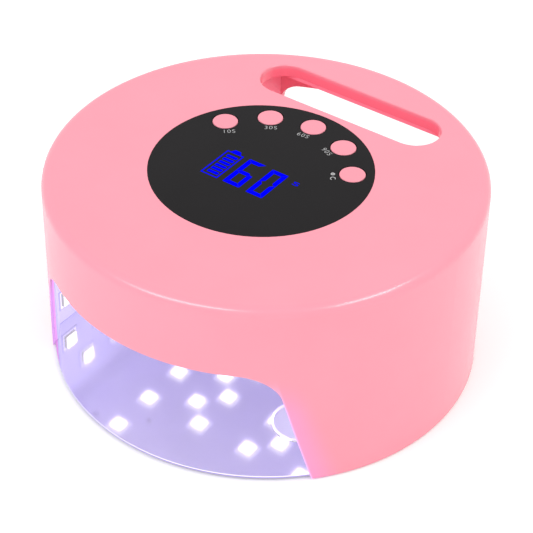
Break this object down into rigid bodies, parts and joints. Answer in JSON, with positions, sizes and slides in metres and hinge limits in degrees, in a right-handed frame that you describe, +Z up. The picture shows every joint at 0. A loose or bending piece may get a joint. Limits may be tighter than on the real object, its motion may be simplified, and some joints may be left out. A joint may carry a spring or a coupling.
{
  "type": "uv led nail lamp",
  "caption": "Drum-shaped salon lamp: a hand chamber lined with lamps behind a wide front mouth, a round control panel with press buttons on top, a carrying slot and a lift-off base.",
  "frame": {"origin": "on the table, at the centre of the drum", "axes": "+Z up; the hand goes in along +Y through the mouth in the front (-Y); +X to the right seen from the front"},
  "size_m": [0.22, 0.22, 0.1062],
  "materials": {
    "pink_plastic": "glossy moulded shell",
    "deep_pink_plastic": "glossy moulded shell, in the handle",
    "button_pink": "satin moulded caps",
    "panel_black": "dark smoked sheet, satin",
    "guide_black": "moulded black",
    "liner_white": "pale reflective moulding",
    "frame_white": "moulded",
    "plate_mirror": "mirror-polished sheet steel",
    "foot_rubber": "matte",
    "magnet_nickel": "nickel plated",
    "pcb_green": "solder mask",
    "pcb_white": "white solder mask",
    "led_body": "white package",
    "led_lens": "clear square window, lit",
    "sensor_dark": "dark infrared window",
    "module_black": "display case",
    "chip_black": "moulded chip",
    "can_aluminium": "capacitor can",
    "connector_white": "moulded connector",
    "cell_wrap": "shrink wrap on steel cell",
    "tray_black": "moulded",
    "nickel_strip": "nickel strip",
    "screw_steel": "zinc plated",
    "socket_black": "moulded",
    "rocker_black": "moulded rocker",
    "pin_brass": "turned pin",
    "nut_steel": "plated nut",
    "coil_copper": "enamelled copper winding",
    "sink_aluminium": "extruded",
    "lead_red": "insulated wire"
  },
  "bodies": {
    "housing": {"top_housing": "pink_plastic", "handle_well": "deep_pink_plastic", "handle_underside": "deep_pink_plastic", "display_panel": "panel_black", "button_guide": "guide_black", "display_module": "module_black", "control_board": "pcb_green", "tact_switches": "chip_black", "buzzer": "chip_black", "board_chips": "chip_black", "board_capacitors": "can_aluminium", "board_connectors": "connector_white", "chamber_liner": "liner_white", "ceiling_led_board": "pcb_white", "left_led_board": "pcb_white", "right_led_board": "pcb_white", "rear_led_board": "pcb_white", "ceiling_led_lenses": "led_lens", "wall_led_lenses": "led_lens", "ceiling_led_packages": "led_body", "wall_led_packages": "led_body", "hand_sensors": "sensor_dark", "lower_frame": "frame_white", "magnets": "magnet_nickel", "battery_cells": "cell_wrap", "battery_tray": "tray_black", "battery_contacts": "nickel_strip", "port_plate": "deep_pink_plastic", "switch_body": "socket_black", "switch_pin": "screw_steel", "dc_jack": "socket_black", "dc_jack_pin": "pin_brass", "jack_nut": "nut_steel", "power_board": "pcb_green", "power_inductor": "coil_copper", "power_capacitors": "can_aluminium", "heat_sink": "sink_aluminium", "housing_screws": "screw_steel", "liner_screws": "screw_steel", "control_board_screws": "screw_steel", "power_board_screws": "screw_steel", "led_board_screws": "screw_steel", "tray_screws": "screw_steel", "board_leads": "lead_red"},
    "base": {"base_plate": "plate_mirror", "rubber_feet": "foot_rubber"},
    "rocker": {"switch_rocker": "rocker_black"},
    "button_10s": {"button_10s": "button_pink"},
    "button_30s": {"button_30s": "button_pink"},
    "button_60s": {"button_60s": "button_pink"},
    "button_90s": {"button_90s": "button_pink"},
    "button_mode": {"button_mode": "button_pink"}
  },
  "joints": [
    {"name": "button_10s_press", "type": "slide", "parent": "housing", "child": "button_10s", "axis": [0, 0, -1], "range_m": [0, 0.0008], "stiffness_N_per_m": 500, "springref_m": -0.001},
    {"name": "button_30s_press", "type": "slide", "parent": "housing", "child": "button_30s", "axis": [0, 0, -1], "range_m": [0, 0.0008], "stiffness_N_per_m": 500, "springref_m": -0.001},
    {"name": "button_60s_press", "type": "slide", "parent": "housing", "child": "button_60s", "axis": [0, 0, -1], "range_m": [0, 0.0008], "stiffness_N_per_m": 500, "springref_m": -0.001},
    {"name": "button_90s_press", "type": "slide", "parent": "housing", "child": "button_90s", "axis": [0, 0, -1], "range_m": [0, 0.0008], "stiffness_N_per_m": 500, "springref_m": -0.001},
    {"name": "button_mode_press", "type": "slide", "parent": "housing", "child": "button_mode", "axis": [0, 0, -1], "range_m": [0, 0.0008], "stiffness_N_per_m": 500, "springref_m": -0.001},
    {"name": "power_rocker", "type": "hinge", "parent": "housing", "child": "rocker", "pos_m": [-0.015, 0.1005, 0.0205], "axis": [0, 0, 1], "range_deg": [-16, 0]},
    {"name": "base_release", "type": "slide", "parent": "housing", "child": "base", "axis": [0, 0, -1], "range_m": [0, 0.03]}
  ]
}
